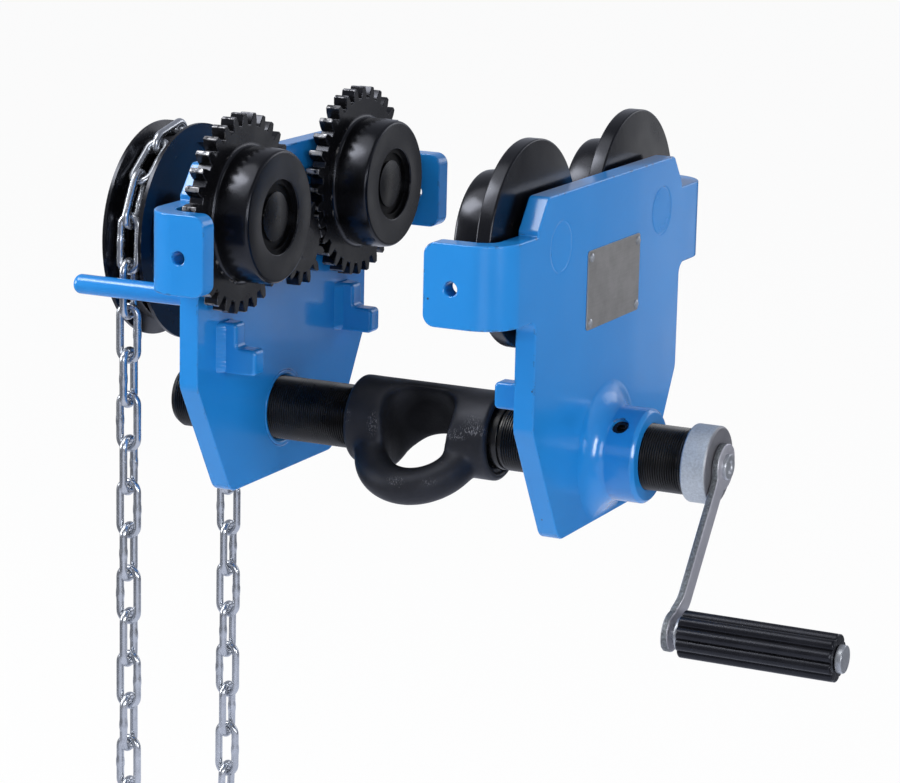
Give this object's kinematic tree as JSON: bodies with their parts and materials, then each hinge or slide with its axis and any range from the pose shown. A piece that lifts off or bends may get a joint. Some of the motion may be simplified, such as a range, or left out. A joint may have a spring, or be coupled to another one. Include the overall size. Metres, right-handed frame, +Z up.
{
  "type": "geared beam trolley",
  "caption": "Beam trolley with two side plates on a crank-turned screw spindle, flanged wheels, a hand chain that drives toothed wheels through a pinion, and an eye for a hoist.",
  "frame": {"origin": "on the beam flange's running surface under the treads, midway between the side plates and the wheels", "axes": "+X across the beam towards the crank, +Y along the beam, +Z up"},
  "size_m": [0.4917, 0.3, 0.5399],
  "materials": {
    "blue_paint": "gloss paint",
    "black_enamel": "gloss black",
    "black_steel": "oiled black thread",
    "dark_forging": "dark scuffed forging",
    "zinc_plate": "bright zinc plate",
    "bearing_steel": "ground steel",
    "bronze": "sintered bronze",
    "black_plastic": "moulded ribs",
    "bare_aluminium": "brushed, bare"
  },
  "bodies": {
    "left_spindle": {"left_screw": "black_steel"},
    "spindle": {"suspension_eye": "dark_forging", "right_screw": "black_steel", "crank_collar": "zinc_plate", "crank_arm": "zinc_plate", "crank_grip_pin": "zinc_plate"},
    "grip": {"crank_grip": "black_plastic"},
    "pinion": {"pinion_shaft": "black_enamel", "chain_wheel_hub": "black_enamel", "chain_wheel_key": "bearing_steel", "chain_wheel_inner_disc": "black_enamel", "chain_wheel_outer_disc": "black_enamel", "chain_wheel_circlip": "bearing_steel"},
    "geared_front_wheel": {"geared_front_wheel": "black_enamel", "geared_front_wheel_rim": "black_enamel", "geared_front_bearing_outer_ring": "bearing_steel", "geared_front_wheel_circlip": "bearing_steel"},
    "geared_back_wheel": {"geared_back_wheel": "black_enamel", "geared_back_wheel_rim": "black_enamel", "geared_back_bearing_outer_ring": "bearing_steel", "geared_back_wheel_circlip": "bearing_steel"},
    "plain_front_wheel": {"plain_front_wheel": "black_enamel", "plain_front_wheel_rim": "black_enamel", "plain_front_bearing_outer_ring": "bearing_steel", "plain_front_wheel_circlip": "bearing_steel"},
    "plain_back_wheel": {"plain_back_wheel": "black_enamel", "plain_back_wheel_rim": "black_enamel", "plain_back_bearing_outer_ring": "bearing_steel", "plain_back_wheel_circlip": "bearing_steel"},
    "plain_side": {"name_plate": "bare_aluminium", "name_plate_rivets": "bare_aluminium", "plain_back_axle": "black_enamel", "plain_back_bearing_inner_ring": "bearing_steel", "plain_front_axle": "black_enamel", "plain_front_bearing_inner_ring": "bearing_steel", "plain_side_boss": "blue_paint", "plain_side_lugs": "blue_paint", "plain_side_plate": "blue_paint", "plain_side_set_screw": "bearing_steel"},
    "geared_side": {"chain_guide_back": "blue_paint", "chain_guide_front": "blue_paint", "geared_back_axle": "black_enamel", "geared_back_bearing_inner_ring": "bearing_steel", "geared_front_axle": "black_enamel", "geared_front_bearing_inner_ring": "bearing_steel", "geared_side_boss": "blue_paint", "geared_side_lugs": "blue_paint", "geared_side_plate": "blue_paint", "geared_side_set_screw": "bearing_steel", "hand_chain_back_strand": "zinc_plate", "hand_chain_bottom_loop": "zinc_plate", "hand_chain_front_strand": "zinc_plate", "hand_chain_over_wheel": "black_enamel", "pinion_bushes": "bronze", "pinion_housing": "blue_paint", "pinion_thrust_washer": "bearing_steel"}
  },
  "joints": [
    {"name": "spindle_turn", "type": "hinge", "parent": "left_spindle", "child": "spindle", "pos_m": [0, 0, -0.0923], "axis": [1, 0, 0], "range_deg": [-12240, 6120]},
    {"name": "grip_spin", "type": "hinge", "parent": "spindle", "child": "grip", "pos_m": [0.24, -0.06949, -0.17366], "axis": [1, 0, 0], "continuous": true},
    {"name": "geared_side_slide", "type": "slide", "parent": "left_spindle", "child": "geared_side", "axis": [-1, 0, 0], "range_m": [-0.0511, 0.0256]},
    {"name": "plain_side_slide", "type": "slide", "parent": "left_spindle", "child": "plain_side", "axis": [1, 0, 0], "range_m": [-0.0511, 0.0256]},
    {"name": "pinion_spin", "type": "hinge", "parent": "geared_side", "child": "pinion", "pos_m": [-0.17, 0, 0.01173], "axis": [1, 0, 0], "continuous": true},
    {"name": "geared_front_wheel_spin", "type": "hinge", "parent": "geared_side", "child": "geared_front_wheel", "pos_m": [-0.08, -0.0735, 0.04], "axis": [1, 0, 0], "continuous": true},
    {"name": "geared_back_wheel_spin", "type": "hinge", "parent": "geared_side", "child": "geared_back_wheel", "pos_m": [-0.08, 0.0735, 0.04], "axis": [1, 0, 0], "continuous": true},
    {"name": "plain_front_wheel_spin", "type": "hinge", "parent": "plain_side", "child": "plain_front_wheel", "pos_m": [0.08, -0.0735, 0.04], "axis": [1, 0, 0], "continuous": true},
    {"name": "plain_back_wheel_spin", "type": "hinge", "parent": "plain_side", "child": "plain_back_wheel", "pos_m": [0.08, 0.0735, 0.04], "axis": [1, 0, 0], "continuous": true}
  ],
  "couplings": [
    {"joint": "geared_side_slide", "follows": "spindle_turn", "m_per_rad": 0.00023873},
    {"joint": "plain_side_slide", "follows": "spindle_turn", "m_per_rad": 0.00023873},
    {"joint": "geared_front_wheel_spin", "follows": "pinion_spin", "ratio": -0.40625},
    {"joint": "geared_back_wheel_spin", "follows": "pinion_spin", "ratio": -0.40625}
  ]
}
